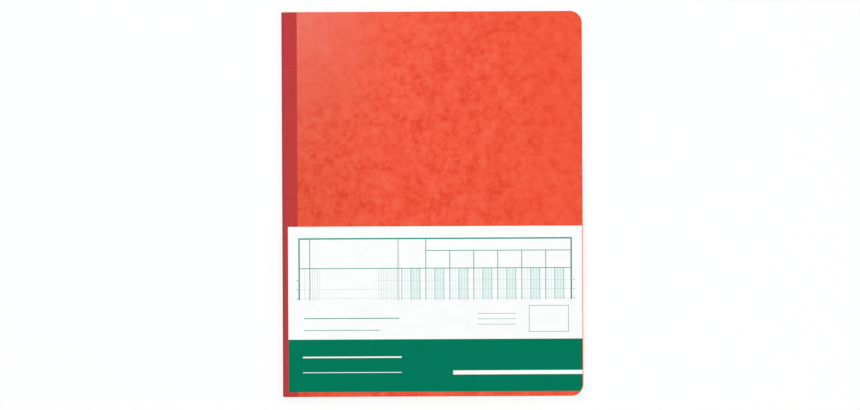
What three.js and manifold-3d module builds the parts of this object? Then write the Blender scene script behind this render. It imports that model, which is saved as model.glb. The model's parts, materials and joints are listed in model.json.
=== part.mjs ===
// A cash book: one section of folded ledger sheets, nested and sewn through the fold, between two
// covers of pressboard that a cloth tape joins round the spine, with a printed label on the front.
// Millimetres. The book lies closed on its back cover: +Z up, head towards +Y, spine towards -X.
// The origin is the middle of the rectangle it covers, on the surface it lies on.

import * as THREE from "three";
import { mergeVertices } from "three/addons/utils/BufferGeometryUtils.js";
import Module from "manifold-3d";

const wasm = await Module();
wasm.setup();

// The closed book
const BOOK_WIDTH = 250; // from the spine's outer face to the fore-edge
const BOOK_HEIGHT = 320; // from tail to head
const FORE_CORNER_RADIUS = 10; // covers and leaves are cut together, so they share this corner

// Sheets: each is folded once and gives a leaf in front of the middle and one behind it
const SHEET_COUNT = 21;
const LEAF_THICKNESS = 0.12;
const LEAF_CLEARANCE = 0.025; // air between a leaf and the next, and between a leaf and a cover

// Covers
const BOARD_THICKNESS = 0.8;
const TAPE_THICKNESS = 0.25;
const TAPE_REACH = 13; // width of tape seen on each cover, from the spine's outer face

// Label, on the front cover
const LABEL_THICKNESS = 0.12;
const LABEL_HEIGHT = 137.5;
const LABEL_FROM_SPINE = 5; // the label overlaps the tape
const LABEL_FROM_TAIL = 4;
const LABEL_FROM_FORE_EDGE = 0.6;

// Sewing
const THREAD_RADIUS = 0.15;
const THREAD_CLEARANCE = 0.05; // round the thread in its holes and inside the innermost fold
const STITCH_HOLES = 8; // an even count, so that both ends finish outside, under the tape
const STITCH_MARGIN = 25; // from the head and the tail to the first and last hole
const THREAD_TAIL = 8; // end of the thread left outside, beyond the first and last hole
const THREAD_TURN_RADIUS = 0.12; // of the corner where the thread turns into a hole

// Fineness of curves
const CORNER_STEPS = 8;
const FOLD_STEPS = 11; // odd, so that the needle holes pierce a flat facet
const TAPE_BEND_STEPS = 15;
const THREAD_SIDES = 6;
const THREAD_TURN_STEPS = 2;

// Worked out from the sizes above
const leafPitch = LEAF_THICKNESS + LEAF_CLEARANCE;
const foldCore = THREAD_RADIUS + THREAD_CLEARANCE; // inner radius of the innermost fold
const blockRadius = foldCore + SHEET_COUNT * leafPitch; // fold axis to a cover's inner face
const outerRadius = blockRadius + BOARD_THICKNESS; // fold axis to a cover's outer face
const spineX = -BOOK_WIDTH / 2;
const foreEdgeX = BOOK_WIDTH / 2;
const headY = BOOK_HEIGHT / 2;
const tailY = -BOOK_HEIGHT / 2;
const foldX = spineX + outerRadius; // the fold axis runs along Y: every leaf and cover turns here
const foldZ = outerRadius;
const hingeEdgeX = foldX + foldCore; // covers and leaves start here: the thread runs between piles
const tapeEdgeX = spineX + TAPE_REACH;

const pressboard = new THREE.MeshStandardMaterial({ color: 0xf05c42, roughness: 0.42, metalness: 0 });
const tapeCloth = new THREE.MeshStandardMaterial({ color: 0xbe3f3e, roughness: 0.85, metalness: 0 });
const labelPaper = new THREE.MeshStandardMaterial({ color: 0xfbfbf9, roughness: 0.55, metalness: 0 });
const ledgerPaper = new THREE.MeshStandardMaterial({ color: 0xf5f1e6, roughness: 0.8, metalness: 0 });
const linenThread = new THREE.MeshStandardMaterial({ color: 0xefe9da, roughness: 0.9, metalness: 0 });

// A named piece of the book.
function piece(name, geometry, material) {
  const mesh = new THREE.Mesh(geometry, material);
  mesh.name = name;
  return mesh;
}

// A closed geometry as a solid that can be cut.
function toSolid(geometry) {
  const bare = geometry.index ? geometry.toNonIndexed() : geometry.clone();
  bare.deleteAttribute("normal");
  bare.deleteAttribute("uv");
  const merged = mergeVertices(bare);
  const vertProperties = merged.attributes.position.array;
  const triVerts = merged.index.array;
  return new wasm.Manifold(new wasm.Mesh({ numProp: 3, vertProperties, triVerts }));
}

// A cut solid as a geometry again.
function toGeometry(solid) {
  const { vertProperties, triVerts } = solid.getMesh();
  const geometry = new THREE.BufferGeometry();
  geometry.setAttribute("position", new THREE.BufferAttribute(vertProperties, 3));
  geometry.setIndex(new THREE.BufferAttribute(triVerts, 1));
  geometry.computeVertexNormals();
  return geometry;
}

// A box between two corners.
function boxBetween(low, high) {
  const size = high.map((value, axis) => value - low[axis]);
  const middle = high.map((value, axis) => (value + low[axis]) / 2);
  return new THREE.BoxGeometry(...size).translate(...middle);
}

// A flat shape in X and Y, as a plate that stands on its own Z = 0. An arc gets two steps for
// each curve segment.
function plate(shape, thickness) {
  const settings = { depth: thickness, bevelEnabled: false, curveSegments: CORNER_STEPS / 2 };
  return new THREE.ExtrudeGeometry(shape, settings);
}

// The trimmed outline that covers and leaves share: square at the spine, round at the fore-edge.
function trimmedOutline() {
  const radius = FORE_CORNER_RADIUS;
  const outline = new THREE.Shape();
  outline.moveTo(hingeEdgeX, tailY);
  outline.lineTo(foreEdgeX - radius, tailY);
  outline.absarc(foreEdgeX - radius, tailY + radius, radius, -Math.PI / 2, 0, false);
  outline.lineTo(foreEdgeX, headY - radius);
  outline.absarc(foreEdgeX - radius, headY - radius, radius, 0, Math.PI / 2, false);
  outline.lineTo(hingeEdgeX, headY);
  outline.closePath();
  return outline;
}

// Points round the fold axis, from the edge of the upper pile to that of the lower one by way of
// the spine.
function bendLine(radius, steps) {
  const line = Array.from({ length: steps + 1 }, (_, step) => {
    const angle = Math.PI / 2 + (step / steps) * Math.PI;
    return new THREE.Vector2(radius * Math.cos(angle), radius * Math.sin(angle));
  });
  const edge = hingeEdgeX - foldX;
  return [new THREE.Vector2(edge, radius), ...line, new THREE.Vector2(edge, -radius)];
}

// A bend between two radii round the fold axis, as long as the book is high.
function bend(innerRadius, radius, steps) {
  const points = [...bendLine(radius, steps), ...bendLine(innerRadius, steps).reverse()];
  const settings = { depth: BOOK_HEIGHT, bevelEnabled: false };
  const length = new THREE.ExtrudeGeometry(new THREE.Shape(points), settings);
  return length.rotateX(Math.PI / 2).translate(foldX, headY, foldZ);
}

// Distance along Y of each needle hole.
function stitchPlaces() {
  const pitch = (BOOK_HEIGHT - 2 * STITCH_MARGIN) / (STITCH_HOLES - 1);
  return Array.from({ length: STITCH_HOLES }, (_, hole) => tailY + STITCH_MARGIN + hole * pitch);
}

// Bends of one or more nested sheets, with the needle holes through them.
function foldBend(innerRadius, radius) {
  const half = THREAD_RADIUS + THREAD_CLEARANCE;
  let solid = toSolid(bend(innerRadius, radius, FOLD_STEPS));
  for (const y of stitchPlaces()) {
    const low = [foldX - radius - half, y - half, foldZ - half];
    const high = [foldX, y + half, foldZ + half];
    solid = solid.subtract(toSolid(boxBetween(low, high)));
  }
  return toGeometry(solid);
}

// How high the bed of the tape's wing starts in a board that stands on its own Z = 0.
function bedBottom(outerFaceUp) {
  return outerFaceUp ? BOARD_THICKNESS - TAPE_THICKNESS : 0;
}

// A cover board. The tape's wing is bedded in its outer face, so that board and tape end level.
function coverBoard(outerFaceUp) {
  const past = BOARD_THICKNESS; // how far the cutter runs out of the board
  const bottom = bedBottom(outerFaceUp);
  const low = [hingeEdgeX - past, tailY - past, outerFaceUp ? bottom : bottom - past];
  const high = [tapeEdgeX, headY + past, bottom + TAPE_THICKNESS + (outerFaceUp ? past : 0)];
  const board = toSolid(plate(trimmedOutline(), BOARD_THICKNESS));
  return toGeometry(board.subtract(toSolid(boxBetween(low, high))));
}

// The tape's wing, in the bed of its board.
function tapeWing(outerFaceUp) {
  const bottom = bedBottom(outerFaceUp);
  return boxBetween([hingeEdgeX, tailY, bottom], [tapeEdgeX, headY, bottom + TAPE_THICKNESS]);
}

// The label's outline: square corners, but for the one that follows the cover's round corner.
function labelOutline() {
  const spineSide = spineX + LABEL_FROM_SPINE;
  const foreSide = foreEdgeX - LABEL_FROM_FORE_EDGE;
  const tailSide = tailY + LABEL_FROM_TAIL;
  const headSide = tailSide + LABEL_HEIGHT;
  const centreX = foreEdgeX - FORE_CORNER_RADIUS;
  const centreY = tailY + FORE_CORNER_RADIUS;
  const radius = FORE_CORNER_RADIUS - LABEL_FROM_FORE_EDGE;
  const outline = new THREE.Shape();
  outline.moveTo(spineSide, tailSide);
  if (tailSide < centreY) {
    const start = Math.asin(Math.max(-1, (tailSide - centreY) / radius));
    outline.lineTo(centreX + radius * Math.cos(start), tailSide);
    outline.absarc(centreX, centreY, radius, start, 0, false);
  } else {
    outline.lineTo(foreSide, tailSide);
  }
  outline.lineTo(foreSide, headSide);
  outline.lineTo(spineSide, headSide);
  outline.closePath();
  return outline;
}

// Points of the thread's way, in X and Y at the height of the fold axis: in through the first
// hole, along the fold, out through the next, along the outside, and so on.
function threadWay() {
  const inside = foldX;
  const outside = foldX - blockRadius - foldCore;
  const holes = stitchPlaces();
  const corners = [[outside, holes[0] - THREAD_TAIL]];
  holes.forEach((y, hole) => {
    const entering = hole % 2 === 0;
    corners.push([entering ? outside : inside, y]);
    corners.push([entering ? inside : outside, y]);
  });
  corners.push([outside, holes[holes.length - 1] + THREAD_TAIL]);
  return corners.map(([x, y]) => new THREE.Vector2(x, y));
}

// The same way with each corner turned on a small radius.
function roundedWay(corners) {
  const points = [corners[0]];
  for (let i = 1; i < corners.length - 1; i += 1) {
    const back = corners[i - 1].clone().sub(corners[i]).setLength(THREAD_TURN_RADIUS);
    const on = corners[i + 1].clone().sub(corners[i]).setLength(THREAD_TURN_RADIUS);
    const centre = corners[i].clone().add(back).add(on);
    for (let step = 0; step <= THREAD_TURN_STEPS; step += 1) {
      const turn = (step / THREAD_TURN_STEPS) * (Math.PI / 2);
      const point = centre.clone();
      point.addScaledVector(on, -Math.cos(turn)).addScaledVector(back, -Math.sin(turn));
      points.push(point);
    }
  }
  points.push(corners[corners.length - 1]);
  return points;
}

// A tube along a way in one plane, mitred at each point and closed at both ends.
function threadGeometry(points) {
  const last = points.length - 1;
  const position = [];
  points.forEach((point, i) => {
    const before = point.clone().sub(points[Math.max(i - 1, 0)]).normalize();
    const after = points[Math.min(i + 1, last)].clone().sub(point).normalize();
    const along = before.clone().add(after).normalize();
    const across = new THREE.Vector2(-along.y, along.x);
    const reference = i === 0 ? after : before;
    const widen = 1 / Math.abs(reference.x * across.y - reference.y * across.x);
    for (let side = 0; side < THREAD_SIDES; side += 1) {
      const angle = (side / THREAD_SIDES) * 2 * Math.PI;
      const offset = THREAD_RADIUS * Math.cos(angle) * widen;
      const rise = THREAD_RADIUS * Math.sin(angle);
      position.push(point.x + across.x * offset, point.y + across.y * offset, foldZ + rise);
    }
  });
  const index = [];
  for (let ring = 0; ring < last; ring += 1) {
    for (let side = 0; side < THREAD_SIDES; side += 1) {
      const a = ring * THREAD_SIDES + side;
      const b = ring * THREAD_SIDES + ((side + 1) % THREAD_SIDES);
      index.push(a, b, a + THREAD_SIDES, b, b + THREAD_SIDES, a + THREAD_SIDES);
    }
  }
  const end = last * THREAD_SIDES;
  for (let side = 1; side < THREAD_SIDES - 1; side += 1) {
    index.push(0, side + 1, side, end, end + side, end + side + 1);
  }
  const geometry = new THREE.BufferGeometry();
  geometry.setAttribute("position", new THREE.Float32BufferAttribute(position, 3));
  geometry.setIndex(index);
  geometry.computeVertexNormals();
  return geometry;
}

// The front cover lies on the pile with its outer face up and carries the label.
function frontCover() {
  const group = new THREE.Group();
  const label = piece("front_label", plate(labelOutline(), LABEL_THICKNESS), labelPaper);
  label.position.z = BOARD_THICKNESS;
  group.add(piece("front_cover", coverBoard(true), pressboard));
  group.add(piece("spine_tape_front", tapeWing(true), tapeCloth));
  group.add(label);
  group.position.z = foldZ + blockRadius;
  return group;
}

// The back cover lies under the pile with its outer face down.
function backCover() {
  const group = new THREE.Group();
  group.add(piece("back_cover", coverBoard(false), pressboard));
  group.add(piece("spine_tape_back", tapeWing(false), tapeCloth));
  group.position.z = foldZ - outerRadius;
  return group;
}

// Names of the leaves from the front cover to the back one.
function leafNames() {
  const leafCount = 2 * SHEET_COUNT;
  return Array.from({ length: leafCount }, (_, leaf) => {
    if (leaf === 0) return "identification_leaf";
    if (leaf === leafCount - 1) return "end_leaf";
    return "leaf_" + String(leaf).padStart(2, "0");
  });
}

// The leaves, each lying flat at its own distance from the fold axis.
function leaves() {
  const group = new THREE.Group();
  const geometry = plate(trimmedOutline(), LEAF_THICKNESS);
  leafNames().forEach((name, leaf) => {
    const mesh = piece(name, geometry, ledgerPaper);
    const inFront = leaf < SHEET_COUNT;
    const sheet = inFront ? SHEET_COUNT - 1 - leaf : leaf - SHEET_COUNT;
    const nearFace = foldCore + sheet * leafPitch;
    mesh.position.z = foldZ + (inFront ? nearFace : -nearFace - LEAF_THICKNESS);
    group.add(mesh);
  });
  return group;
}

// What lies round the fold axis: the bends of the sheets, the thread and the tape's bend.
function spine() {
  const group = new THREE.Group();
  const second = foldCore + leafPitch; // inner radius of the sheet round the centre sheet
  const outer = foldCore + (SHEET_COUNT - 1) * leafPitch; // and of the outermost sheet
  const centreFold = foldBend(foldCore, foldCore + LEAF_THICKNESS);
  const ledgerFolds = foldBend(second, outer - LEAF_CLEARANCE);
  const outerFold = foldBend(outer, outer + LEAF_THICKNESS);
  group.add(piece("centre_sheet_fold", centreFold, ledgerPaper));
  group.add(piece("ledger_sheet_folds", ledgerFolds, ledgerPaper));
  group.add(piece("outer_sheet_fold", outerFold, ledgerPaper));
  group.add(piece("sewing_thread", threadGeometry(roundedWay(threadWay())), linenThread));
  const tapeBend = bend(outerRadius - TAPE_THICKNESS, outerRadius, TAPE_BEND_STEPS);
  group.add(piece("spine_tape_bend", tapeBend, tapeCloth));
  return group;
}

const book = new THREE.Group();
book.add(backCover(), leaves(), spine(), frontCover());

export default book;
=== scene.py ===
"""Looks of a cash book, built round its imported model.

The book is one section of folded ledger sheets, nested and sewn through the fold, between two covers
of glazed pressboard that a cloth tape joins round the spine, with a printed label on the front.
Lengths are in metres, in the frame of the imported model: +Z out of the front cover, +Y towards the
head, +X from the spine to the fore-edge.
"""

import json
import logging
import math
from collections.abc import Callable, Iterator
from contextlib import contextmanager
from dataclasses import dataclass, replace
from enum import Enum

import bpy
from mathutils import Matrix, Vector

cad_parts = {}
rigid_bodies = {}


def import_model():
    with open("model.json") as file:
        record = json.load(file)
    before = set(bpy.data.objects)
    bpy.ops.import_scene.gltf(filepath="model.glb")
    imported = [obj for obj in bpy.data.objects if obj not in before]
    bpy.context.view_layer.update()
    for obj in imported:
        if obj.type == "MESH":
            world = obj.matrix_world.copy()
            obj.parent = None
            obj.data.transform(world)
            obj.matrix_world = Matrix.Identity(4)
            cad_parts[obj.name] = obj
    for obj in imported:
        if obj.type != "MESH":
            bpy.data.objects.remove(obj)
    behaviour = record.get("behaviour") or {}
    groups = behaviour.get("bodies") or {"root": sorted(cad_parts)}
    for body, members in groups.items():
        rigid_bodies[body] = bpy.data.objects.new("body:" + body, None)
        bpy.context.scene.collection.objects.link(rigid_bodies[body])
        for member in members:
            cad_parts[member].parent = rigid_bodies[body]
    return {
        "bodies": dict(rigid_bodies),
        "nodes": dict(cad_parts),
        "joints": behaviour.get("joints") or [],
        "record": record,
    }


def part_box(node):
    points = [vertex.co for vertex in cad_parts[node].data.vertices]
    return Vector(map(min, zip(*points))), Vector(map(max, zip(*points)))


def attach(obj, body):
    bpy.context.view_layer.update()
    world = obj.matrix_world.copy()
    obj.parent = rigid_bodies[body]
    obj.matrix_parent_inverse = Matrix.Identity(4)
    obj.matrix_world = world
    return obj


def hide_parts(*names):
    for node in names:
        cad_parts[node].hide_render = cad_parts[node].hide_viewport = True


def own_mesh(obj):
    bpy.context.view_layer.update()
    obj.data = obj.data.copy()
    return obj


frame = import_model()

log = logging.getLogger("cash_book")

MM = 0.001
WHITE = (1, 1, 1, 1)
MIDDLE = 0.5
DIGITS = 7
TINY = 1e-7
Piece = bpy.types.Object
Material = bpy.types.Material
Socket = bpy.types.NodeSocket
Feed = Socket | float | tuple[float, ...]
Pair = tuple[float, float]
Triple = tuple[float, float, float]
Colour = Triple
Tones = tuple[tuple[float, Colour], ...]


class Inks(Enum):
    """What a part of the printed label or of a ruled page is printed in."""

    PAPER = "paper"
    GREEN = "green"
    TINT = "pale_tint"
    BAND = "band_green"


class Level(Enum):
    """Line of a cash table's heading from which an upright rule runs down."""

    TOP = "top"
    CASH_HEADING = "cash_heading"
    ROWS = "rows"


class Side(Enum):
    """Which way a cover's outer face looks."""

    FRONT = 1
    BACK = -1


class Part(Enum):
    """Kind of element of a mesh, under its name in the mesh's data."""

    FACE = "polygons"
    EDGE = "edges"
    VERT = "vertices"


# Modelling


def choose(*pieces: Piece) -> None:
    """Selects some pieces and nothing else, and makes the first of them the active one.

    Args:
        *pieces: The pieces.
    """
    bpy.ops.object.select_all(action="DESELECT")
    for piece in reversed(pieces):
        piece.select_set(True)
        bpy.context.view_layer.objects.active = piece


def start_piece(add: Callable[..., set[str]], name: str, size: Vector | Triple, **place: object) -> Piece:
    """Adds a primitive as the start of a piece, with its place and size put into its mesh.

    Args:
        add: Operator that adds the primitive.
        name: Name of the new piece.
        size: Its size along its own three axes.
        **place: Where the primitive goes and how it is turned.

    Returns:
        The new object, at the origin, unturned and unscaled.
    """
    choose()
    add(size=1, **place)
    piece = bpy.context.object
    piece.name = piece.data.name = name
    piece.scale = size
    bpy.ops.object.transform_apply(location=True, rotation=True, scale=True)
    return piece


@contextmanager
def editing(piece: Piece, part: Part) -> Iterator[None]:
    """Keeps a piece in edit mode while it is worked on.

    Args:
        piece: The object to edit.
        part: Kind of element that is selected.
    """
    choose(piece)
    bpy.ops.object.mode_set(mode="EDIT")
    bpy.ops.mesh.select_mode(type=part.name)
    yield
    bpy.ops.object.mode_set(mode="OBJECT")


def pick(piece: Piece, part: Part, wanted: Callable[[bpy.types.bpy_struct], bool]) -> None:
    """Selects the elements that pass a test, and no others, in edit mode.

    Args:
        piece: The object that is being edited.
        part: Kind of element.
        wanted: Says whether an element is to be selected.
    """
    bpy.ops.mesh.select_all(action="DESELECT")
    bpy.ops.object.mode_set(mode="OBJECT")
    for element in getattr(piece.data, part.value):
        element.select = wanted(element)
    bpy.ops.object.mode_set(mode="EDIT")


def close_up(threshold: float) -> None:
    """Joins doubled points of the mesh in edit mode, and turns its faces outwards.

    Args:
        threshold: Distance within which points are one.
    """
    bpy.ops.mesh.select_all(action="SELECT")
    bpy.ops.mesh.remove_doubles(threshold=threshold)
    bpy.ops.mesh.normals_make_consistent(inside=False)


def apply_modifier(piece: Piece, kind: str, **settings: object) -> None:
    """Adds a modifier, sets it up and applies it.

    Args:
        piece: The object to change.
        kind: Blender's name for the kind of modifier.
        **settings: Values of the modifier's own properties.
    """
    modifier = piece.modifiers.new(kind.title(), kind)
    for key, value in settings.items():
        setattr(modifier, key, value)
    choose(piece)
    bpy.ops.object.modifier_apply(modifier=modifier.name)


def soften(piece: Piece, angle: float = 35) -> None:
    """Shades a piece smooth, with edges sharper than an angle in degrees left crisp."""
    choose(piece)
    bpy.ops.object.shade_smooth_by_angle(angle=math.radians(angle))


def dress(piece: Piece, *materials: Material) -> None:
    """Gives a piece its materials, in the order of its faces' material numbers.

    Args:
        piece: The piece.
        *materials: Its materials.
    """
    piece.data.materials.clear()
    for material in materials:
        piece.data.materials.append(material)


# Sizes


@dataclass(frozen=True)
class BookSizes:
    """Sizes of the closed book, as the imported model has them."""

    fore_x: float
    tail_y: float
    head_y: float
    hinge_x: float
    tape_x: float
    outer_radius: float
    board: float
    tape: float
    leaf: float
    leaf_pitch: float
    fold_core: float
    corner: float = 10 * MM

    @property
    def fold_x(self) -> float:
        """Place of the fold axis along X."""
        return self.hinge_x - self.fold_core

    @property
    def fold_z(self) -> float:
        """Height of the fold axis."""
        return self.outer_radius

    @property
    def block_radius(self) -> float:
        """Distance from the fold axis to a cover's inner face."""
        return self.outer_radius - self.board

    @property
    def sheets(self) -> int:
        """Number of nested sheets."""
        return round((self.block_radius - self.fold_core) / self.leaf_pitch)

    @property
    def height(self) -> float:
        """Height of the book, from tail to head."""
        return self.head_y - self.tail_y

    @classmethod
    def from_frame(cls) -> "BookSizes":
        """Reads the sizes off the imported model's nodes.

        Returns:
            The sizes of the book.
        """
        cover, wing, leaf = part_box("front_cover"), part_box("spine_tape_front"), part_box("leaf_01")
        boxes = (cover, wing, leaf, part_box("spine_tape_bend"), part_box("centre_sheet_fold"))
        board, tape, leaf_depth, bend, fold = (high[2] - low[2] for low, high in boxes)
        return cls(
            fore_x=cover[1][0],
            tail_y=cover[0][1],
            head_y=cover[1][1],
            hinge_x=cover[0][0],
            tape_x=wing[1][0],
            outer_radius=bend / 2,
            board=board,
            tape=tape,
            leaf=leaf_depth,
            leaf_pitch=leaf[0][2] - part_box("leaf_02")[0][2],
            fold_core=fold / 2 - leaf_depth,
        )


# Finishes


class Wiring:
    """A node tree, with short ways to add nodes and to join them."""

    def __init__(self, tree: bpy.types.NodeTree) -> None:
        """Takes up the node tree of a material or of the world."""
        self.tree = tree

    def first(self, kind: str) -> bpy.types.Node:
        """The first node of the tree whose type starts with a word."""
        return next(node for node in self.tree.nodes if node.type.startswith(kind))

    def node(self, kind: str, feeds: dict[str | int, Feed], **settings: object) -> bpy.types.Node:
        """Adds a node.

        Args:
            kind: Kind of node, without Blender's "ShaderNode".
            feeds: What goes into its inputs: a socket is joined, a number or colour is written.
            **settings: Values of the node's own properties.

        Returns:
            The new node.
        """
        node = self.tree.nodes.new("ShaderNode" + kind)
        for key, value in settings.items():
            setattr(node, key, value)
        for key, feed in feeds.items():
            if isinstance(feed, Socket):
                self.tree.links.new(feed, node.inputs[key])
            else:
                node.inputs[key].default_value = feed
        return node


class Recipe(Wiring):
    """One material's nodes."""

    def __init__(self, name: str, roughness: float, gloss: float) -> None:
        """Starts a material.

        Args:
            name: Name of the material.
            roughness: Roughness of the whole surface.
            gloss: Level of the surface's reflection.
        """
        self.material = bpy.data.materials.new(name)
        self.material.use_nodes = True
        super().__init__(self.material.node_tree)
        self.shader = self.first("BSDF_PRINCIPLED")
        self.shader.inputs["Roughness"].default_value = roughness
        self.shader.inputs["Specular IOR Level"].default_value = gloss
        self.place = self.node("TexCoord", {}).outputs["Object"]

    def maths(self, operation: str, *feeds: Feed) -> Socket:
        """Result of one sum on one to three numbers or sockets."""
        return self.node("Math", dict(enumerate(feeds)), operation=operation).outputs[0]

    def times(self, first: Feed, second: Feed) -> Socket:
        """Product of two numbers."""
        return self.maths("MULTIPLY", first, second)

    def less(self, first: Feed, second: Feed) -> Socket:
        """A number with another taken from it."""
        return self.maths("SUBTRACT", first, second)

    def distance(self, first: Feed, second: Feed) -> Socket:
        """Length of a way with two parts at right angles."""
        return self.maths("SQRT", self.maths("MULTIPLY_ADD", first, first, self.times(second, second)))

    def weighed(self, *shares: tuple[Feed, float]) -> Socket:
        """Sum of numbers, each times its weight.

        Args:
            *shares: Pairs of a number and its weight.

        Returns:
            The sum.
        """
        total = 0.0
        for value, weight in shares:
            total = self.maths("MULTIPLY_ADD", value, weight, total)
        return total

    def within(self, value: Feed, low: float, high: float) -> Socket:
        """1 where a number lies between two others, and 0 elsewhere."""
        return self.times(self.maths("GREATER_THAN", value, low), self.maths("LESS_THAN", value, high))

    def graded(self, value: Feed, ends: Pair, results: Pair) -> Socket:
        """A number that goes evenly between two results as another goes between two ends."""
        return self.node("MapRange", dict(enumerate((value, *ends, *results)))).outputs[0]

    def split(self, vector: Socket) -> list[Socket]:
        """The three numbers of a vector."""
        return list(self.node("SeparateXYZ", {0: vector}).outputs)

    def noise(self, scale: float | Triple, detail: float = 3, place: Socket | None = None) -> Socket:
        """Smooth noise about 0.5.

        Args:
            scale: Features to a metre, or to a metre along each axis.
            detail: Number of finer layers.
            place: Place on the surface, where it isn't the piece's own.

        Returns:
            The noise.
        """
        feeds = {"Vector": place or self.place, "Scale": scale}
        if isinstance(scale, tuple):
            feeds = {"Vector": self.node("Mapping", feeds).outputs[0], "Scale": 1}
        return self.node("TexNoise", {**feeds, "Detail": detail}).outputs[0]

    def ramp(self, factor: Socket, tones: Tones) -> Socket:
        """A colour that follows a number.

        Args:
            factor: The number.
            tones: Pairs of a number from 0 to 1 and its colour.

        Returns:
            The colour.
        """
        node = self.node("ValToRGB", {0: factor})
        elements = node.color_ramp.elements
        while len(elements) < len(tones):
            elements.new(MIDDLE)
        for element, (position, colour) in zip(elements, tones):
            element.position = position
            element.color = (*colour, 1)
        return node.outputs[0]

    def mixed(self, factor: Feed, first: Socket, second: Socket | Colour, blend: str = "MIX") -> Socket:
        """A colour with a share of a second one laid on it, in one of Blender's ways of blending."""
        # Inputs 6 and 7 and output 2 are the colours of a node that mixes other kinds too.
        feeds = {0: factor, 6: first, 7: (*second, 1) if isinstance(second, tuple) else second}
        return self.node("Mix", feeds, data_type="RGBA", blend_type=blend).outputs[2]

    def finish(self, colour: Socket, height: Socket, relief: float, rough: Socket | None = None) -> Material:
        """Joins colour, relief and roughness to the shader.

        Args:
            colour: Base colour.
            height: Height of the relief, from 0 to 1.
            relief: What a height of 1 is in metres.
            rough: Roughness, where it varies.

        Returns:
            The finished material.
        """
        bump = self.node("Bump", {"Height": height, "Distance": relief, "Strength": 1.0})
        joins = {"Base Color": colour, "Normal": bump.outputs[0], "Roughness": rough}
        for name, socket in joins.items():
            if socket is not None:
                self.tree.links.new(socket, self.shader.inputs[name])
        return self.material


@dataclass(frozen=True)
class GlazedPressboard:
    """Red-orange pressboard with a mottled, glazed face.

    The mottle is fainter along the fore-edge, and painted fainter by the tape's head where the sheen falls,
    standing in for the sheen washing it out; the colour is darkened towards the tape as painted shade.

    Attributes:
        tones: Colours from the deepest to the palest spots.
        spots: Size, finer layers and share of the blobs, the clumps and the flecks of the mottle.
    """

    sizes: BookSizes
    tones: Tones = (
        (0.36, (0.730, 0.038, 0.0088)),
        (0.49, (0.832, 0.0722, 0.0246)),
        (0.63, (0.864, 0.104, 0.047)),
    )
    spots: tuple[Triple, ...] = ((5.2 * MM, 3, 0.5), (12 * MM, 2, 0.3), (1.8 * MM, 2, 0.2))
    roughness: float = 0.25
    roughness_rise: float = 0.06
    roughness_fall: float = 0.12
    gloss: float = 0.29
    grain: float = 2600
    grain_share: float = 0.35
    relief: float = 0.03 * MM
    # Painted shade by the tape: how much darker the face is at the tape's edge, and how far from it that
    # fades out.
    painted_hinge_shade: float = 0.10
    hinge_shade_reach: float = 75 * MM
    contrast: float = 1.06
    # Painted sheen: the mottle is faded near the tape's head, where the gloss lamp's sheen falls, to stand
    # in for the sheen washing it out.
    sheen_fade: float = 0.45
    sheen_reach: Pair = (50 * MM, 100 * MM)
    fore_fade: float = 0.64
    fore_reach: Pair = (32 * MM, 80 * MM)

    def make(self) -> Material:
        """Makes the glazed face's material.

        Returns:
            The material.
        """
        recipe = Recipe("glazed_pressboard", self.roughness, self.gloss)
        across, up, _ = recipe.split(recipe.place)
        past_tape = recipe.less(across, self.sizes.tape_x)
        from_fore = recipe.less(self.sizes.fore_x, across)
        from_corner = recipe.distance(past_tape, recipe.less(self.sizes.head_y, up))
        # Painted sheen: the mottle's contrast is lowered near the head corner, where the sheen falls.
        sheen_contrast = recipe.graded(from_corner, self.sheen_reach, (self.sheen_fade, self.contrast))
        by_fore = recipe.graded(from_fore, self.fore_reach, (self.fore_fade, 1))
        spots = [(recipe.noise(1 / size, detail), share) for size, detail, share in self.spots]
        swing = recipe.less(recipe.weighed(*spots), MIDDLE)
        mottle = recipe.maths("MULTIPLY_ADD", swing, recipe.times(sheen_contrast, by_fore), MIDDLE)
        # Painted shade: the face's colour is darkened towards the spine tape.
        wear_and_shade = recipe.graded(past_tape, (0, self.hinge_shade_reach), (1 - self.painted_hinge_shade, 1))
        colour = recipe.mixed(1.0, recipe.ramp(mottle, self.tones), wear_and_shade, "MULTIPLY")
        duller = self.roughness + self.roughness_rise
        rough = recipe.maths("MULTIPLY_ADD", mottle, -self.roughness_fall, duller)
        grain = recipe.noise(self.grain, detail=1)
        grain = recipe.maths("MULTIPLY_ADD", grain, self.grain_share, mottle)
        return recipe.finish(colour, grain, self.relief, rough)


@dataclass(frozen=True)
class CutPressboard:
    """Cut edge of the pressboard: felted layers, duller than the glazed face.

    Attributes:
        layers: Size of the layers' streaks along the three axes.
        fibres: Fibres to a metre.
    """

    tones: Tones = ((0.35, (0.62, 0.050, 0.024)), (0.65, (0.80, 0.110, 0.058)))
    roughness: float = 0.82
    gloss: float = 0.18
    layers: Triple = (6.25 * MM, 6.25 * MM, 0.09 * MM)
    fibres: float = 3000
    fibre_share: float = 0.4
    relief: float = 0.05 * MM

    def make(self) -> Material:
        """Makes the cut edge's material.

        Returns:
            The material.
        """
        recipe = Recipe("cut_pressboard", self.roughness, self.gloss)
        layers = recipe.noise(tuple(1 / size for size in self.layers))
        fibres = recipe.noise(self.fibres, detail=2)
        felt = recipe.weighed((layers, 1 - self.fibre_share), (fibres, self.fibre_share))
        return recipe.finish(recipe.ramp(felt, self.tones), felt, self.relief)


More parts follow.
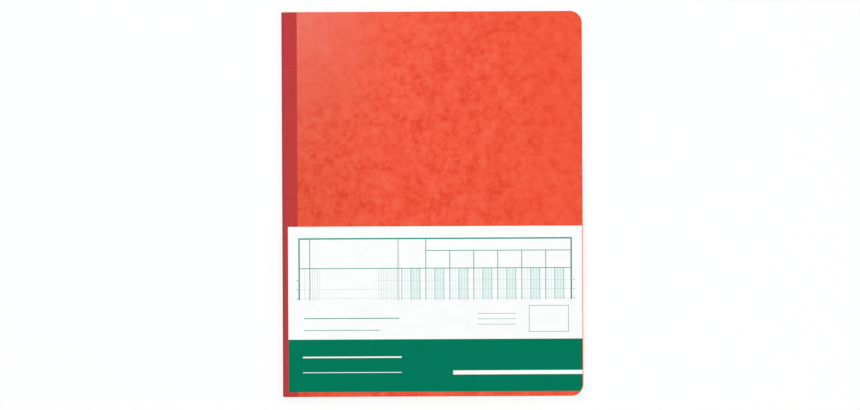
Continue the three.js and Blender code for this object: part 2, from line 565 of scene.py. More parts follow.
@dataclass(frozen=True)
class SpineCloth:
    """Dark red book cloth in plain weave, read off the tape's own UV map, in metres along the cloth.

    Attributes:
        fold: Colour of the painted shade where the cloth turns away round the spine.
        slubs: Thick places to a metre, along the threads that run round the spine and along the others.
        shares: How much those thick places and the weave add to the tone.
        slub_relief: How far the first thick places stand out, as a share of the weave's relief.
    """

    furrow: Colour = (0.372, 0.0138, 0.0138)
    thread: Colour = (0.553, 0.053, 0.049)
    fold: Colour = (0.37, 0.044, 0.076)
    roughness: float = 0.86
    gloss: float = 0.145
    pitch: float = 0.62 * MM
    rib: float = 1.7 * MM
    slubs: Pair = (40, 60)
    shares: Triple = (0.4, 0.4, 0.45)
    tone_ends: Pair = (0.25, 0.75)
    wear_and_shade: float = 0.25
    wear_scale: float = 70
    # Painted shade round the spine's bend: its strength, and where it fades out from the bend's middle.
    fold_shade: float = 0.75
    fold_reach: Pair = (2.6 * MM, 5.6 * MM)
    slub_relief: float = 0.5
    relief: float = 0.05 * MM

    def make(self) -> Material:
        """Makes the cloth's material.

        Returns:
            The material.
        """
        recipe = Recipe("spine_cloth", self.roughness, self.gloss)
        cloth = recipe.node("UVMap", {}, uv_map="weave").outputs[0]
        across, along, _ = recipe.split(cloth)
        counts = [recipe.maths("DIVIDE", way, self.pitch) for way in (across, along)]
        waves = [recipe.maths("SINE", recipe.times(count, math.pi)) for count in counts]
        under, over = (recipe.times(wave, wave) for wave in waves)
        threads = recipe.maths("ADD", *(recipe.maths("FLOOR", count) for count in counts))
        parity = recipe.maths("FLOORED_MODULO", threads, 2.0)
        over = recipe.times(over, recipe.less(1.0, parity))
        weave = recipe.maths("MULTIPLY_ADD", under, parity, over)
        scales = ((1 / self.rib, self.slubs[0], 1), (self.slubs[1], 1 / self.rib, 1))
        slubs, cross_slubs = (recipe.noise(scale, detail=2, place=cloth) for scale in scales)
        tone = recipe.weighed(*zip((slubs, cross_slubs, weave), self.shares))
        colour = recipe.ramp(tone, tuple(zip(self.tone_ends, (self.furrow, self.thread))))
        wear_and_shade = recipe.times(recipe.noise(self.wear_scale), self.wear_and_shade)
        colour = recipe.mixed(wear_and_shade, colour, self.thread)
        # Painted shade: the cloth is darkened and cooled near the middle of the spine's bend, where it turns
        # away from the light.
        folded = recipe.graded(recipe.maths("ABSOLUTE", across), self.fold_reach, (self.fold_shade, 0))
        colour = recipe.mixed(folded, colour, self.fold)
        height = recipe.maths("MULTIPLY_ADD", slubs, self.slub_relief, weave)
        return recipe.finish(colour, height, self.relief)


@dataclass(frozen=True)
class LabelPrint:
    """Label paper and the inks printed on it. All share one paper grain."""

    paper: Colour = (0.930, 0.926, 0.920)
    green: Colour = (0.025, 0.295, 0.215)
    pale_tint: Colour = (0.745, 0.870, 0.842)
    band_green: Colour = (0.000, 0.178, 0.096)
    roughness: float = 0.62
    gloss: float = 0.10
    band_gloss: float = 0.02
    grain: float = 2200
    cloud: float = 90
    cloud_share: float = 0.5
    tone_ends: Pair = (0.35, 0.65)
    depths: Pair = (0.965, 1.03)
    relief: float = 0.012 * MM

    def make(self, ink: Inks) -> Material:
        """Makes the material of one ink, or of the bare paper.

        Args:
            ink: What the surface is printed in.

        Returns:
            The material.
        """
        gloss = self.band_gloss if ink is Inks.BAND else self.gloss
        recipe = Recipe("label_" + ink.value, self.roughness, gloss)
        grain, cloud = recipe.noise(self.grain), recipe.noise(self.cloud)
        tone = recipe.weighed((grain, 1 - self.cloud_share), (cloud, self.cloud_share))
        base = getattr(self, ink.value)
        colours = [tuple(min(1.0, part * depth) for part in base) for depth in self.depths]
        return recipe.finish(recipe.ramp(tone, tuple(zip(self.tone_ends, colours))), grain, self.relief)


@dataclass(frozen=True)
class LinenThread:
    """Natural linen, in two plies."""

    tones: Tones = ((0.35, (0.60, 0.54, 0.42)), (0.65, (0.86, 0.81, 0.69)))
    roughness: float = 0.88
    gloss: float = 0.12
    fibres: Triple = (9000, 2200, 9000)
    relief: float = 0.03 * MM

    def make(self) -> Material:
        """Makes the thread's material.

        Returns:
            The material.
        """
        recipe = Recipe("linen_thread", self.roughness, self.gloss)
        fibres = recipe.noise(self.fibres, detail=2)
        return recipe.finish(recipe.ramp(fibres, self.tones), fibres, self.relief)


@dataclass(frozen=True)
class RuleSet:
    """Equal rules at one pitch.

    Attributes:
        start: Near edge of the first rule, from the table's left side or the page's head.
        width: Width of a rule.
        count: Number of rules.
        pitch: Distance from a rule to the next.
        ink: What the rules are printed in.
        level: Where upright rules start.
    """

    start: float
    width: float
    count: int = 1
    pitch: float = 0
    ink: Inks = Inks.GREEN
    level: Level = Level.ROWS


@dataclass(frozen=True)
class CashTable:
    """Upright rules of the cash page, which the label shows as well.

    Attributes:
        digit: Width of one digit's place in a cash column.
        total: Where the first cash column ends, from which the cash heading runs.
        wide_columns: Rules of the frame, the date and particulars columns, and between cash columns.
        cash_column: A tinted strip, then rules a digit apart, from the column's own left side.
    """

    width: float = 226.8 * MM
    frame: float = 1.2 * MM
    heavy: float = 0.62 * MM
    strip_edge: float = 0.46 * MM
    cash_edge: float = heavy * 0.75
    fine: float = 0.15 * MM
    row: float = 0.11 * MM
    cash_start: float = 85.7 * MM
    cash_pitch: float = 19.93 * MM
    cash_columns: int = 7
    digit: float = cash_pitch / 8
    total: float = cash_start + cash_pitch
    wide_columns: tuple[RuleSet, ...] = (
        RuleSet(0, frame, level=Level.TOP),
        RuleSet(width - frame / 2, frame, level=Level.TOP),
        RuleSet(9.2 * MM, heavy, level=Level.TOP),
        RuleSet(82.4 * MM, heavy / 2, 2, 0.95 * MM, level=Level.TOP),
        RuleSet(cash_start, cash_edge),
        RuleSet(total, heavy, level=Level.TOP),
        RuleSet(total + cash_pitch, heavy, 5, cash_pitch, level=Level.CASH_HEADING),
        RuleSet(5.2 * MM, fine),
        RuleSet(11.85 * MM, fine, 4, 1.94 * MM),
        RuleSet(66.8 * MM, fine, 8, 2.04 * MM),
    )
    cash_column: tuple[RuleSet, ...] = (
        RuleSet(3 * digit + heavy / 2, 3 * digit, ink=Inks.TINT),
        RuleSet((heavy - fine) / 2 + digit, fine, 2, digit),
        RuleSet((heavy - strip_edge) / 2 + 3 * digit, strip_edge, 2, 3 * digit),
        RuleSet((heavy - fine) / 2 + 4 * digit, fine, 2, digit),
    )

    def uprights(self) -> list[tuple[float, float, RuleSet]]:
        """Lists every upright rule and strip.

        Returns:
            Left side, right side and set of each, in the order they are printed.
        """
        offsets = [self.cash_start + column * self.cash_pitch for column in range(self.cash_columns)]
        placed = [(offset, rules) for offset in offsets for rules in self.cash_column]
        placed += [(0.0, rules) for rules in self.wide_columns]
        return [
            (left, left + rules.width, rules)
            for offset, rules in placed
            for left in (offset + rules.start + i * rules.pitch for i in range(rules.count))
        ]


class Page(Recipe):
    """A leaf's paper, which can tell where on its page a point of the closed book lies.

    Attributes:
        level: Sheets out from the fold axis, with whole numbers midway between two sheets.
        front: 1 on the front half of the book.
        grain: Height of the paper's grain.
        bare: Colour of the bare paper, which differs a little from leaf to leaf.
    """

    def __init__(self, name: str, paper: "LeafPaper") -> None:
        """Starts the material.

        Args:
            name: Name of the material.
            paper: What the paper looks like.
        """
        super().__init__(name, paper.roughness, paper.gloss)
        self.sizes = sizes = paper.sizes
        self.x, self.y, z = self.split(self.place)
        rise = self.less(z, sizes.fold_z)
        reach = self.distance(self.maths("MINIMUM", self.less(self.x, sizes.fold_x), 0.0), rise)
        half_gap = (sizes.leaf_pitch - sizes.leaf) / 2
        self.level = self.maths("DIVIDE", self.less(reach, sizes.fold_core - half_gap), sizes.leaf_pitch)
        self.front = self.maths("GREATER_THAN", rise, 0.0)
        number = self.maths("MULTIPLY_ADD", self.front, sizes.sheets, self.maths("FLOOR", self.level))
        leaf_tone = self.node("TexWhiteNoise", {"W": number}, noise_dimensions="1D").outputs["Value"]
        self.grain = self.noise(paper.grain)
        tone = self.weighed(*zip((self.noise(paper.cloud), self.grain, leaf_tone), paper.shares))
        self.bare = self.ramp(tone, paper.tones)

    def places(self) -> tuple[Socket, Socket, Socket]:
        """Works out where a point is on its page.

        Returns:
            Distance from the page's left side as it is read, distance from its head, and 1 on a
            right-hand page.
        """
        outer = self.maths("GREATER_THAN", self.maths("FRACT", self.level), MIDDLE)
        right_hand = self.less(1.0, self.maths("ABSOLUTE", self.less(outer, self.front)))
        from_edge = self.less(self.sizes.fore_x, self.x)
        spread = self.less(self.less(self.x, self.sizes.hinge_x), from_edge)
        across = self.maths("MULTIPLY_ADD", spread, right_hand, from_edge)
        return across, self.less(self.sizes.head_y, self.y), right_hand

    def rules(self, place: Socket, rules: RuleSet) -> Socket:
        """1 on the rules of a set and 0 elsewhere.

        Args:
            place: Distance across the rules.
            rules: The set.

        Returns:
            The mask.
        """
        end = rules.start + (rules.count - 1) * rules.pitch + rules.width
        reach = self.within(place, rules.start, end)
        if rules.count == 1:
            return reach
        step = self.maths("FRACT", self.maths("DIVIDE", self.less(place, rules.start), rules.pitch))
        return self.times(self.maths("LESS_THAN", step, rules.width / rules.pitch), reach)


@dataclass(frozen=True)
class LeafPaper:
    """Paper of the leaves. Its print is worked out from the place on the leaf and the side of it.

    Attributes:
        shares: How much the clouds, the grain and the leaf add to the paper's tone.
        form_lines: Writing lines of the identification leaf, from its head.
        form_line_ends: Their two ends.
        form_sides: Left and right side of the frame round them.
        form_levels: Upper and lower side of that frame.
    """

    sizes: BookSizes
    table: CashTable = CashTable()
    tones: Tones = ((0.2, (0.83, 0.815, 0.765)), (0.8, (0.90, 0.89, 0.85)))
    ink: Colour = (0.09, 0.38, 0.30)
    tint: Colour = (0.73, 0.86, 0.80)
    roughness: float = 0.8
    gloss: float = 0.15
    grain: float = 1500
    cloud: float = 60
    shares: Triple = (0.4, 0.3, 0.3)
    relief: float = 0.02 * MM
    page_margin: float = 9 * MM
    table_top: float = 16 * MM
    heading: float = 25 * MM
    cash_heading: float = 10 * MM
    row_pitch: float = 7.5 * MM
    rows: int = 34
    form_lines: RuleSet = RuleSet(96 * MM, 0.3 * MM, 11, 15 * MM)
    form_line_ends: Pair = (34 * MM, 212 * MM)
    form_sides: Pair = (20 * MM, 226 * MM)
    form_levels: Pair = (34 * MM, 286 * MM)
    form_border: float = 0.9 * MM

    def ruled(self) -> Material:
        """Makes the paper of the numbered leaves, with a cash page on both sides.

        Returns:
            The material.
        """
        page, table = Page("ledger_paper_ruled", self), self.table
        across, down, _ = page.places()
        under_heading = self.table_top + self.heading
        cash_line = self.table_top + self.cash_heading
        bottom = under_heading + self.rows * self.row_pitch + table.frame
        starts = {Level.TOP: self.table_top, Level.CASH_HEADING: cash_line, Level.ROWS: under_heading}
        tall = {level: page.within(down, start, bottom) for level, start in starts.items()}
        inside = page.less(across, self.page_margin)
        in_cash = page.less(inside, table.cash_start)
        in_column = page.maths("FLOORED_MODULO", in_cash, table.cash_pitch)
        cash = page.within(in_cash, 0.0, table.cash_pitch * table.cash_columns)
        wide = page.within(inside, 0.0, table.width)
        headed = page.within(inside, table.total, table.width)
        placed = [(page.times(tall[rules.level], cash), in_column, rules) for rules in table.cash_column]
        placed += [(tall[rules.level], inside, rules) for rules in table.wide_columns]
        placed += [
            (wide, down, RuleSet(self.table_top, table.frame)),
            (wide, down, RuleSet(under_heading, table.heavy)),
            (headed, down, RuleSet(cash_line, table.heavy)),
            (wide, down, RuleSet(under_heading + self.row_pitch, table.row, self.rows, self.row_pitch)),
        ]
        colour = page.bare
        for ink, tone in ((Inks.TINT, self.tint), (Inks.GREEN, self.ink)):
            printed = 0.0
            for reach, place, rules in placed:
                if rules.ink is ink:
                    printed = page.maths("MAXIMUM", printed, page.times(reach, page.rules(place, rules)))
            colour = page.mixed(printed, colour, tone)
        return page.finish(colour, page.grain, self.relief)

    def form(self) -> Material:
        """Makes the paper of the identification leaf, with writing lines on its right-hand page.

        Returns:
            The material.
        """
        page = Page("ledger_paper_form", self)
        across, down, right_hand = page.places()
        lines = page.times(page.rules(down, self.form_lines), page.within(across, *self.form_line_ends))
        sides = ((across, *self.form_sides), (down, *self.form_levels))
        whole, inner = (
            page.times(*(page.within(way, low + inset, high - inset) for way, low, high in sides))
            for inset in (0, self.form_border)
        )
        mask = page.times(right_hand, page.maths("MAXIMUM", lines, page.less(whole, inner)))
        return page.finish(page.mixed(mask, page.bare, self.ink), page.grain, self.relief)

    def plain(self) -> Material:
        """Makes the paper of the end leaf and of the bends of the sheets."""
        page = Page("ledger_paper_plain", self)
        return page.finish(page.bare, page.grain, self.relief)


# Sub-assemblies


@dataclass
class Cover:
    """One pressboard cover with its wing of the spine tape bedded in its outer face.

    Attributes:
        sharpest: Turn between two faces from which their edge is eased, in radians.
        glazed_rise: Least upright part of a face's normal for the face to be glazed.
    """

    sizes: BookSizes
    side: Side
    face: Material
    edge: Material
    cloth: Material
    corner_steps: int = 24
    edge_bevel: float = 0.07 * MM
    bevel_steps: int = 2
    sharpest: float = 0.7
    glazed_rise: float = 0.5

    @property
    def name(self) -> str:
        """The cover's CAD node, which is its body too."""
        return self.side.name.lower() + "_cover"

    def slab(self, name: str, x_ends: Pair, depth: float, past: float = 0) -> Piece:
        """Adds a block that reaches from the outer face into the cover.

        Args:
            name: Name of the block.
            x_ends: Its two sides along X.
            depth: How deep it reaches.
            past: How far it runs out of the cover at the outer face, head and tail.

        Returns:
            The block.
        """
        sizes, out = self.sizes, self.side.value
        outer_z = sizes.fold_z + out * sizes.outer_radius
        z_ends = sorted((outer_z - out * depth, outer_z + out * past))
        low = Vector((x_ends[0], sizes.tail_y - past, z_ends[0]))
        high = Vector((x_ends[1], sizes.head_y + past, z_ends[1]))
        return start_piece(bpy.ops.mesh.primitive_cube_add, name, high - low, location=(low + high) / 2)

    def ease(self, piece: Piece) -> None:
        """Eases a piece's edges, and shades them so that its flat faces stay flat.

        Args:
            piece: The board or the wing.
        """
        limit = {"limit_method": "ANGLE", "angle_limit": self.sharpest}
        apply_modifier(piece, "BEVEL", width=self.edge_bevel, segments=self.bevel_steps, **limit)
        soften(piece)
        apply_modifier(piece, "WEIGHTED_NORMAL", keep_sharp=True)

    def build_board(self) -> Piece:
        """Builds the board: round fore-edge corners, a bed for the tape, and eased edges.

        Returns:
            The board.
        """
        sizes = self.sizes
        board = self.slab(self.name + "_board", (sizes.hinge_x, sizes.fore_x), sizes.board)

        def at_fore_corner(edge: bpy.types.MeshEdge) -> bool:
            """Whether an edge stands upright at the fore-edge."""
            a, b = (board.data.vertices[index].co for index in edge.vertices)
            return min(a.x, b.x) > sizes.fore_x - MM and abs(a.z - b.z) > sizes.board / 2

        with editing(board, Part.EDGE):
            pick(board, Part.EDGE, at_fore_corner)
            bpy.ops.mesh.bevel(offset=sizes.corner, segments=self.corner_steps, affect="EDGES")
        bed = self.slab("bed_cutter", (sizes.hinge_x - MM, sizes.tape_x), sizes.tape, past=MM)
        apply_modifier(board, "BOOLEAN", object=bed, operation="DIFFERENCE", solver="EXACT")
        bpy.data.objects.remove(bed, do_unlink=True)
        self.ease(board)
        dress(board, self.face, self.edge)
        for polygon in board.data.polygons:
            polygon.material_index = int(abs(polygon.normal.z) < self.glazed_rise)
        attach(board, self.name)
        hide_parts(self.name)
        return board

    def build_wing(self) -> Piece:
        """Builds the tape's wing in the board's bed.

        Returns:
            The wing.
        """
        sizes = self.sizes
        name = "spine_tape_" + self.side.name.lower()
        wing = self.slab(name + "_cloth", (sizes.hinge_x, sizes.tape_x), sizes.tape)
        self.ease(wing)
        lay_cloth_map(wing, sizes)
        dress(wing, self.cloth)
        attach(wing, self.name)
        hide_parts(name)
        return wing


def lay_cloth_map(piece: Piece, sizes: BookSizes) -> None:
    """Gives a piece of the tape its UV map: metres round the spine, and metres along it.

    Args:
        piece: The piece of tape.
        sizes: Sizes of the book.
    """
    layer = piece.data.uv_layers.new(name="weave")
    for loop in piece.data.loops:
        place = piece.data.vertices[loop.vertex_index].co
        past = max(place.x - sizes.fold_x, 0)
        rise = place.z - sizes.fold_z
        turn = math.atan2(rise, max(sizes.fold_x - place.x, 0))
        round_spine = turn * sizes.outer_radius + math.copysign(past, rise)
        layer.data[loop.index].uv = (round_spine, place.y)


@dataclass
class Spine:
    """What lies round the fold axis: the sheets' bends, the sewing thread and the tape's bend.

    Attributes:
        bend_weld: Distance within which points of a bend are one.
        ply_lift: How far each ply lies off the thread's middle, as a share of the thread's radius.
        ply_crease: Turn between two of its faces from which their edge stays crisp, in degrees.
        closed_up: Share of a bend's width that is left when the book is open; not used.
        centre_closed_up: The same for the centre sheet, which is the narrowest; not used.
    """

    sizes: BookSizes
    paper: Material
    cloth: Material
    linen: Material
    bend_steps: int = 28
    bend_weld: float = 0.001 * MM
    stitch_holes: int = 8
    stitch_margin: float = 25 * MM
    thread_tail: float = 8 * MM
    thread_radius: float = 0.15 * MM
    turn_radius: float = 0.12 * MM
    ply_lift: float = 0.45
    ply_pitch: float = 1.5 * MM
    ply_steps: int = 6
    ply_crease: float = 60
    leader: str = "identification_leaf_turn"
    closed_up: float = 0.04
    centre_closed_up: float = 0.55

    def bend(self, name: str, inner: float, outer: float) -> Piece:
        """Turns a flat strip as long as the book is high round the fold axis.

        Args:
            name: Name of the piece.
            inner: Inner radius of the bend.
            outer: Outer radius of the bend.

        Returns:
            The bend, with its two short straight legs.
        """
        sizes = self.sizes
        leg = sizes.hinge_x - sizes.fold_x
        middle = (sizes.hinge_x, (sizes.head_y + sizes.tail_y) / 2, sizes.fold_z + (inner + outer) / 2)
        size = (outer - inner, sizes.height, 1)
        add = bpy.ops.mesh.primitive_plane_add
        piece = start_piece(add, name, size, location=middle, rotation=(0, math.pi / 2, 0))
        with editing(piece, Part.FACE):
            bpy.ops.mesh.select_all(action="SELECT")
            bpy.ops.mesh.extrude_region_move(TRANSFORM_OT_translate={"value": (-leg, 0, 0)})
            centre = (sizes.fold_x, 0, sizes.fold_z)
            bpy.ops.mesh.spin(steps=self.bend_steps, angle=math.pi, center=centre, axis=(0, 1, 0))
            bpy.ops.mesh.extrude_region_move(TRANSFORM_OT_translate={"value": (leg, 0, 0)})
            close_up(self.bend_weld)
        soften(piece)
        return piece

    def settle(self, piece: Piece, node: str) -> None:
        """Lets a bend turn with the spine, on a mesh of its own, in place of its CAD node.

        Args:
            piece: The bend.
            node: The CAD node that it stands for.
        """
        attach(piece, "spine")
        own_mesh(piece)
        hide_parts(node)

    def build_folds(self) -> list[Piece]:
        """Builds the bend of every sheet, from the centre sheet outwards.

        Returns:
            The bends.
        """
        sizes = self.sizes
        ends = {0: "centre_sheet_fold", sizes.sheets - 1: "outer_sheet_fold"}
        folds = []
        for sheet in range(sizes.sheets):
            inner = sizes.fold_core + sheet * sizes.leaf_pitch
            fold = self.bend(f"sheet_fold_{sheet + 1:02d}", inner, inner + sizes.leaf)
            dress(fold, self.paper)
            self.settle(fold, ends.get(sheet, "ledger_sheet_folds"))
            folds.append(fold)
        return folds

    def build_tape(self) -> Piece:
        """Builds the tape's bend between its two wings.

        Returns:
            The bend.
        """
        sizes = self.sizes
        tape = self.bend("spine_tape_bend_cloth", sizes.outer_radius - sizes.tape, sizes.outer_radius)
        lay_cloth_map(tape, sizes)
        dress(tape, self.cloth)
        self.settle(tape, "spine_tape_bend")
        return tape

    def thread_way(self) -> list[Vector]:
        """Works out the thread's way through the holes, with each corner turned on a small radius.

        Returns:
            Its points, in the plane of the fold.
        """
        sizes = self.sizes
        inside = sizes.fold_x
        outside = sizes.fold_x - sizes.block_radius - sizes.fold_core
        pitch = (sizes.height - 2 * self.stitch_margin) / (self.stitch_holes - 1)
        holes = [sizes.tail_y + self.stitch_margin + hole * pitch for hole in range(self.stitch_holes)]
        corners = [Vector((outside, holes[0] - self.thread_tail))]
        for hole, y in enumerate(holes):
            ends = (outside, inside) if hole % 2 == 0 else (inside, outside)
            corners += [Vector((x, y)) for x in ends]
        corners.append(Vector((outside, holes[-1] + self.thread_tail)))
        way = [corners[0]]
        for before, corner, after in zip(corners, corners[1:], corners[2:]):
            back = (before - corner).normalized() * self.turn_radius
            on = (after - corner).normalized() * self.turn_radius
            for turn in (0, math.pi / 4, math.pi / 2):
                way.append(corner + back + on - on * math.cos(turn) - back * math.sin(turn))
        return [*way, corners[-1]]

    def ply(self, way: list[Vector], start: float) -> Piece:
        """Winds one ply of the thread round its way.

        Args:
            way: Points of the thread's way.
            start: Turn at which the ply begins, in radians.

        Returns:
            The ply, as a mesh.
        """
        points = []
        travelled = 0.0
        step = self.ply_pitch / self.ply_steps
        lift = self.thread_radius * self.ply_lift
        for here, there in zip(way, way[1:]):
            stretch = there - here
            along = stretch.normalized()
            pieces = max(1, round(stretch.length / step))
            for i in range(pieces):
                middle = here + stretch * (i / pieces)
                turn = start + 2 * math.pi * (travelled + stretch.length * i / pieces) / self.ply_pitch
                aside = lift * math.cos(turn)
                height = self.sizes.fold_z + lift * math.sin(turn)
                points.append((middle.x - along.y * aside, middle.y + along.x * aside, height))
            travelled += stretch.length
        curve = bpy.data.curves.new("thread_ply", "CURVE")
        curve.dimensions = "3D"
        curve.bevel_depth = self.thread_radius * (1 - self.ply_lift)
        curve.bevel_resolution = 1
        curve.use_fill_caps = True
        spline = curve.splines.new("POLY")
        spline.points.add(len(points) - 1)
        spline.points.foreach_set("co", [part for point in points for part in (*point, 1.0)])
        ply = bpy.data.objects.new("thread_ply", curve)
        bpy.context.collection.objects.link(ply)
        choose(ply)
        bpy.ops.object.convert(target="MESH")
        return bpy.context.object

    def build_thread(self) -> Piece:
        """Builds the sewing thread: two plies twisted together, in running stitches.

        Returns:
            The thread.
        """
        way = self.thread_way()
        plies = [self.ply(way, start) for start in (0.0, math.pi)]
        choose(*plies)
        bpy.ops.object.join()
        thread = plies[0]
        thread.name = thread.data.name = "sewing_thread_linen"
        with editing(thread, Part.VERT):
            close_up(TINY)
        dress(thread, self.linen)
        soften(thread, self.ply_crease)
        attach(thread, "spine")
        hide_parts("sewing_thread")
        return thread


@dataclass(frozen=True)
class Mark:
    """A printed rectangle of the label, from the label's left side and from its upper side."""

    left: float
    right: float
    top: float
    bottom: float
    ink: Inks = Inks.GREEN


@dataclass
class Label:
    """The printed label, with every printed area as faces of its own.

    Attributes:
        notes: Marks under the table: two writing lines, three short lines and an empty box.
        carried_start: Where the first row's line starts, from the table's left side.
        tick_sides: How far the rows' ticks stand out on the left and on the right of the table.
        bar: Left, upper and lower side of the bar left white in the band, up to the label's edge.
        band_rules: Rules left white in the band.
    """

    sizes: BookSizes
    inks: LabelPrint
    table: CashTable = CashTable()
    table_left: float = 8.5 * MM
    table_top: float = 9.5 * MM
    heading: float = 25.0 * MM
    cash_heading: float = 10.35 * MM
    first_row: float = 10.2 * MM
    row_pitch: float = 7.5 * MM
    rows: int = 3
    carried_start: float = 61 * MM
    rule_overrun: float = 1.4 * MM
    tick: float = 0.9 * MM
    tick_sides: Pair = (1.4 * MM, 1.9 * MM)
    notes: tuple[Mark, ...] = (
        Mark(13 * MM, 92 * MM, 76 * MM, 76.7 * MM),
        Mark(13 * MM, 76 * MM, 86 * MM, 86.5 * MM),
        *(Mark(157 * MM, 189 * MM, level * MM, (level + 0.35) * MM) for level in (72.5, 77, 81.5)),
        Mark(200 * MM, 233 * MM, 66 * MM, 88 * MM),
        Mark(200.4 * MM, 232.6 * MM, 66.4 * MM, 87.6 * MM, Inks.PAPER),
    )
    band_top: float = 93.8 * MM
    bar: Triple = (136.8 * MM, 119.9 * MM, 123.3 * MM)
    band_rules: tuple[Mark, ...] = (
        Mark(12 * MM, 94 * MM, 108 * MM, 109.2 * MM, Inks.PAPER),
        Mark(12 * MM, 94 * MM, 121 * MM, 121.6 * MM, Inks.PAPER),
    )
    corner_steps: int = 16

    def table_zones(self) -> list[list[Mark]]:
        """Lists the marks of the ruled table, parted at the lines of its heading.

        Returns:
            The marks of each zone, from the head down.
        """
        table, left, top = self.table, self.table_left, self.table_top
        right = left + table.width
        cash_line = top + self.cash_heading
        under_heading = top + self.heading
        first = under_heading + self.first_row
        bottom = first + (self.rows - 1) * self.row_pitch + self.rule_overrun
        starts = {Level.TOP: top, Level.CASH_HEADING: cash_line, Level.ROWS: under_heading}
        marks = [
            Mark(left + near, left + far, starts[rules.level], bottom, rules.ink)
            for near, far, rules in table.uprights()
        ]
        marks += [
            Mark(left, right, top, top + table.frame),
            Mark(left, right, under_heading, under_heading + table.heavy),
            Mark(left + table.total, right, cash_line, cash_line + table.heavy),
        ]
        for row in range(self.rows):
            level = first + row * self.row_pitch
            start = left + (0 if row else self.carried_start)
            marks.append(Mark(start, right, level, level + table.row))
            for side in (left - self.tick_sides[0], right + self.tick_sides[1]):
                marks.append(Mark(side, side + self.tick, level - self.tick / 2, level + self.tick / 2))
        edges = (top, cash_line, under_heading, bottom)
        return [
            [
                replace(mark, top=max(mark.top, low), bottom=min(mark.bottom, high))
                for mark in marks
                if mark.top < high and mark.bottom > low
            ]
            for low, high in zip(edges, edges[1:])
        ]

    def band_marks(self, width: float, height: float) -> list[Mark]:
        """Lists the marks of the band along the label's lower side.

        Args:
            width: Width of the label.
            height: Height of the label.

        Returns:
            The band, then what is left white in it.
        """
        left, top, bottom = self.bar
        bar = Mark(left, width, top, bottom, Inks.PAPER)
        return [Mark(0, width, self.band_top, height, Inks.BAND), bar, *self.band_rules]

    def cut(self, at: Vector, facing: Vector, clear: bool = False) -> None:
        """Cuts the selected faces along a line, and may take away what lies beyond it."""
        bpy.ops.mesh.bisect(plane_co=at, plane_no=facing, clear_outer=clear, threshold=TINY)

    def cut_zone(self, piece: Piece, marks: list[Mark], corner: Vector) -> None:
        """Cuts one zone of the label along the sides of its marks.

        Args:
            piece: The label, in edit mode.
            marks: Marks of the zone, which no other zone's marks share a height with.
            corner: The label's upper left corner.
        """
        top, bottom = min(mark.top for mark in marks), max(mark.bottom for mark in marks)
        levels = sorted({round(level, DIGITS) for mark in marks for level in (mark.top, mark.bottom)})
        sides = sorted({round(side, DIGITS) for mark in marks for side in (mark.left, mark.right)})
        down, across = Vector((0, 1, 0)), Vector((1, 0, 0))
        for level in (top, bottom):
            bpy.ops.mesh.select_all(action="SELECT")
            self.cut(corner - down * level, down)
        cuts = [(corner - down * level, down) for level in levels if top < level < bottom]
        cuts += [(corner + across * side, across) for side in sides]
        for at, facing in cuts:
            pick(piece, Part.FACE, lambda face: top < corner.y - face.center.y < bottom)
            self.cut(at, facing)

    def round_corner(self, fore_side: float, tail_side: float) -> None:
        """Trims the label's lower corner parallel to the cover's round corner.

        Args:
            fore_side: Place of its side along the fore-edge.
            tail_side: Place of its side along the tail.
        """
        sizes = self.sizes
        centre = Vector((sizes.fore_x - sizes.corner, sizes.tail_y + sizes.corner, 0))
        radius = fore_side - centre.x
        start = math.asin((tail_side - centre.y) / radius)
        for step in range(self.corner_steps):
            ends = [start * (1 - (step + past) / self.corner_steps) for past in (0, 1)]
            middle = sum(ends) / 2
            facing = Vector((math.cos(middle), math.sin(middle), 0))
            reach = radius * math.cos((ends[1] - ends[0]) / 2)
            bpy.ops.mesh.select_all(action="SELECT")
            self.cut(centre + facing * reach, facing, clear=True)

    def build(self) -> Piece:
        """Builds the label and its print.

        Returns:
            The label.
        """
        low, high = (Vector(corner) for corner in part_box("front_label"))
        middle = (low + high) / 2
        width, height = high.x - low.x, high.y - low.y
        add, place = bpy.ops.mesh.primitive_plane_add, (middle.x, middle.y, high.z)
        label = start_piece(add, "front_label_print", (width, height, 1), location=place)
        corner = Vector((low.x, high.y, 0))
        zones = [*self.table_zones(), list(self.notes), self.band_marks(width, height)]
        with editing(label, Part.FACE):
            for marks in zones:
                self.cut_zone(label, marks, corner)
            self.round_corner(high.x, low.y)
        order = [Inks.GREEN, Inks.TINT, Inks.BAND, Inks.PAPER]
        dress(label, *(self.inks.make(ink) for ink in order))
        marks = [mark for zone in zones for mark in zone]
        for face in label.data.polygons:
            across, down = face.center.x - corner.x, corner.y - face.center.y
            over = [
                mark.ink
                for mark in marks
                if mark.left < across < mark.right and mark.top < down < mark.bottom
            ]
            face.material_index = order.index(over[-1] if over else Inks.PAPER)
        back = {"material_offset": len(order), "material_offset_rim": len(order)}
        apply_modifier(label, "SOLIDIFY", thickness=high.z - low.z, offset=-1, **back)
        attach(label, "front_cover")
        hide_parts("front_label")
        return label


@dataclass
class Leaves:
    """The leaves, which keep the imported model's shapes and get their paper and print."""

    paper: LeafPaper

    def dress_nodes(self) -> int:
        """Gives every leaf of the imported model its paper.

        Returns:
            How many leaves were dressed.
        """
        ruled = self.paper.ruled()
        papers = {"identification_leaf": self.paper.form(), "end_leaf": self.paper.plain()}
        leaves = {name: leaf for name, leaf in frame["nodes"].items() if "leaf" in name}
        for name, leaf in leaves.items():
            for slot in leaf.material_slots:
                slot.material = papers.get(name, ruled)
        return len(leaves)


# Studio


@dataclass(frozen=True)
class Lamp:
    """A square soft lamp that points at the book, with its size in metres and its power in watts."""

    name: str
    place: Triple
    size: float
    power: float
    colour: Colour = (1, 1, 1)

    def hang(self) -> None:
        """Adds the lamp to the scene."""
        data = bpy.data.lights.new(self.name, "AREA")
        data.shape = "SQUARE"
        data.size = self.size
        data.energy = self.power
        data.color = self.colour
        lamp = bpy.data.objects.new(self.name, data)
        lamp.location = self.place
        lamp.rotation_euler = (-Vector(self.place)).to_track_quat("-Z", "Y").to_euler()
        bpy.context.collection.objects.link(lamp)


